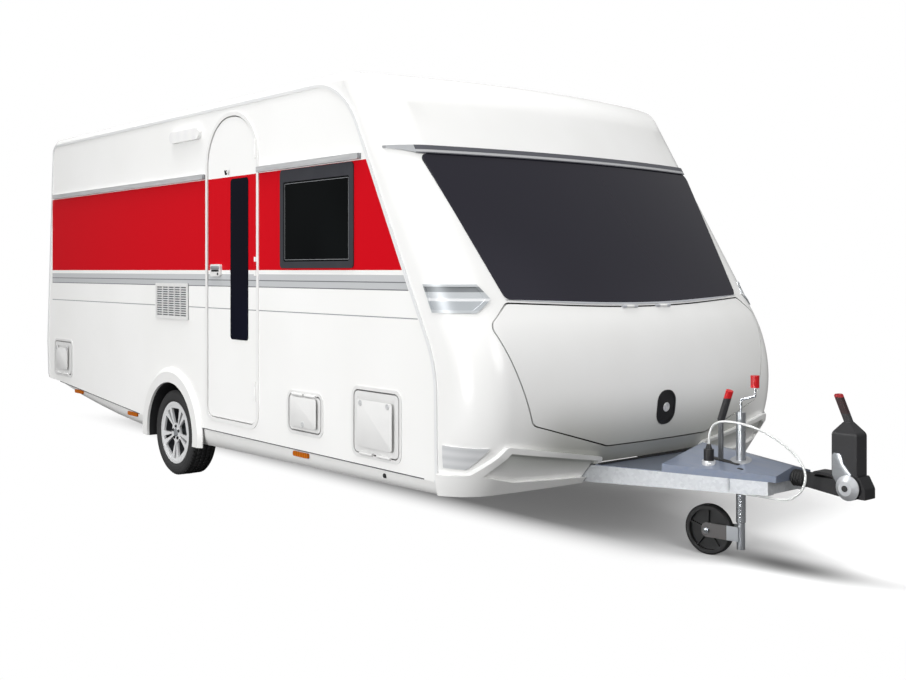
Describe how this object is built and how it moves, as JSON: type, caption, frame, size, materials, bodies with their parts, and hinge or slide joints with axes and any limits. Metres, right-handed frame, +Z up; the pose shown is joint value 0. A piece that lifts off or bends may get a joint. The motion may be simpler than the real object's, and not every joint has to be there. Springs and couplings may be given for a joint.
{
  "type": "travel caravan",
  "caption": "Single-axle touring caravan with a moulded front, wide front window, locker lid, side door, braced drawbar with ball coupling, jockey wheel and corner steadies.",
  "frame": {"origin": "ground level under the middle of the whole length, on the middle line between the wheels", "axes": "+X forward to the hitch, +Y to the left side, +Z up"},
  "size_m": [7.2741, 2.56, 2.675],
  "materials": {
    "shell_white": "moulded and painted white body skin",
    "window_tint": "dark tinted window glazing",
    "trim_silver": "silver trim",
    "trim_dark": "dark plastic",
    "chassis_steel": "galvanised steel",
    "chassis_black": "black painted steel",
    "cover_grey": "light metallic grey cover",
    "floor_board": "sandwich floor board",
    "alloy": "alloy wheel",
    "tyre_rubber": "black tyre",
    "black_rubber": "black rubber",
    "lamp_red": "red lamp lens",
    "lamp_amber": "amber lens",
    "lamp_clear": "clear lens",
    "rooflight_clear": "translucent rooflight dome",
    "lead_grey": "light lead sheath"
  },
  "bodies": {
    "caravan": {"roof": "shell_white", "front_cap": "shell_white", "rear_wall": "shell_white", "right_wall": "shell_white", "left_wall": "shell_white", "floor": "floor_board", "wheel_housings": "trim_dark", "chassis_rails": "chassis_steel", "axle": "chassis_steel", "drawbar": "chassis_steel", "drawbar_cover": "cover_grey", "hitch_shaft": "chassis_steel", "bellows": "black_rubber", "coupling_head": "chassis_black", "stabiliser_handle": "trim_dark", "handbrake_lever": "trim_dark", "jockey_mast": "chassis_steel", "lead_fittings": "trim_silver", "plug": "trim_dark", "lead": "lead_grey", "front_bumpers": "shell_white", "rear_bumper": "shell_white", "edge_trims": "shell_white", "wheel_arch_trims": "shell_white", "skirts": "shell_white", "side_markers": "lamp_amber", "steady_brackets": "chassis_steel", "locker_bulkhead": "floor_board", "front_window": "window_tint", "front_window_trims": "trim_dark", "light_pods": "trim_silver", "position_lamps": "lamp_clear", "window_frames": "trim_dark", "window_panes": "window_tint", "window_rails": "trim_silver", "vent_grille": "shell_white", "awning_lamp": "lamp_clear", "rear_lamps": "lamp_red", "rooflights": "rooflight_clear", "door_frame": "shell_white", "flap_frames": "shell_white"},
    "door": {"door_leaf": "shell_white", "door_window": "window_tint", "door_handle": "trim_dark"},
    "lid": {"locker_lid": "shell_white", "lid_lock": "trim_dark"},
    "large_hatch": {"large_flap": "shell_white"},
    "small_hatch": {"small_flap": "shell_white"},
    "rear_hatch": {"rear_flap": "shell_white"},
    "right_wheel": {"right_tyre": "tyre_rubber", "right_rim": "alloy"},
    "left_wheel": {"left_tyre": "tyre_rubber", "left_rim": "alloy"},
    "jockey_slider": {"jockey_leg": "chassis_steel"},
    "jockey_swivel": {"jockey_fork": "chassis_steel"},
    "jockey_roller": {"jockey_wheel": "black_rubber"},
    "front_left_stand": {"front_left_steady": "chassis_steel"},
    "front_right_stand": {"front_right_steady": "chassis_steel"},
    "rear_left_stand": {"rear_left_steady": "chassis_steel"},
    "rear_right_stand": {"rear_right_steady": "chassis_steel"}
  },
  "joints": [
    {"name": "door_hinge", "type": "hinge", "parent": "caravan", "child": "door", "pos_m": [0.111, -1.258, 1.5], "axis": [0, 0, 1], "range_deg": [0, 150]},
    {"name": "lid_hinge", "type": "hinge", "parent": "caravan", "child": "lid", "pos_m": [2.27568, 0, 1.27463], "axis": [0, -1, 0], "range_deg": [0, 80]},
    {"name": "large_hatch_hinge", "type": "hinge", "parent": "caravan", "child": "large_hatch", "pos_m": [1.419, -1.258, 0.455], "axis": [1, 0, 0], "range_deg": [0, 120]},
    {"name": "small_hatch_hinge", "type": "hinge", "parent": "caravan", "child": "small_hatch", "pos_m": [0.69, -1.258, 0.725], "axis": [-1, 0, 0], "range_deg": [0, 110]},
    {"name": "rear_hatch_hinge", "type": "hinge", "parent": "caravan", "child": "rear_hatch", "pos_m": [-3.1895, -1.258, 0.586], "axis": [1, 0, 0], "range_deg": [0, 120]},
    {"name": "right_wheel_axle", "type": "hinge", "parent": "caravan", "child": "right_wheel", "pos_m": [-1.085, -1.145, 0.305], "axis": [0, 1, 0], "continuous": true},
    {"name": "left_wheel_axle", "type": "hinge", "parent": "caravan", "child": "left_wheel", "pos_m": [-1.085, 1.145, 0.305], "axis": [0, 1, 0], "continuous": true},
    {"name": "jockey_slide", "type": "slide", "parent": "caravan", "child": "jockey_slider", "axis": [0, 0, 1], "range_m": [-0.2, 0.015]},
    {"name": "jockey_steer", "type": "hinge", "parent": "jockey_slider", "child": "jockey_swivel", "pos_m": [2.969, -0.08, 0.186], "axis": [0, 0, 1], "continuous": true},
    {"name": "jockey_axle", "type": "hinge", "parent": "jockey_swivel", "child": "jockey_roller", "pos_m": [2.79567, -0.11056, 0.13], "axis": [-0.1736, 0.9848, 0], "continuous": true},
    {"name": "front_left_stand_pivot", "type": "hinge", "parent": "caravan", "child": "front_left_stand", "pos_m": [1.375, 0.82, 0.368], "axis": [0, -1, 0], "range_deg": [0, 50]},
    {"name": "front_right_stand_pivot", "type": "hinge", "parent": "caravan", "child": "front_right_stand", "pos_m": [1.375, -0.82, 0.368], "axis": [0, -1, 0], "range_deg": [0, 50]},
    {"name": "rear_left_stand_pivot", "type": "hinge", "parent": "caravan", "child": "rear_left_stand", "pos_m": [-2.845, 0.82, 0.368], "axis": [0, 1, 0], "range_deg": [0, 50]},
    {"name": "rear_right_stand_pivot", "type": "hinge", "parent": "caravan", "child": "rear_right_stand", "pos_m": [-2.845, -0.82, 0.368], "axis": [0, 1, 0], "range_deg": [0, 50]}
  ]
}
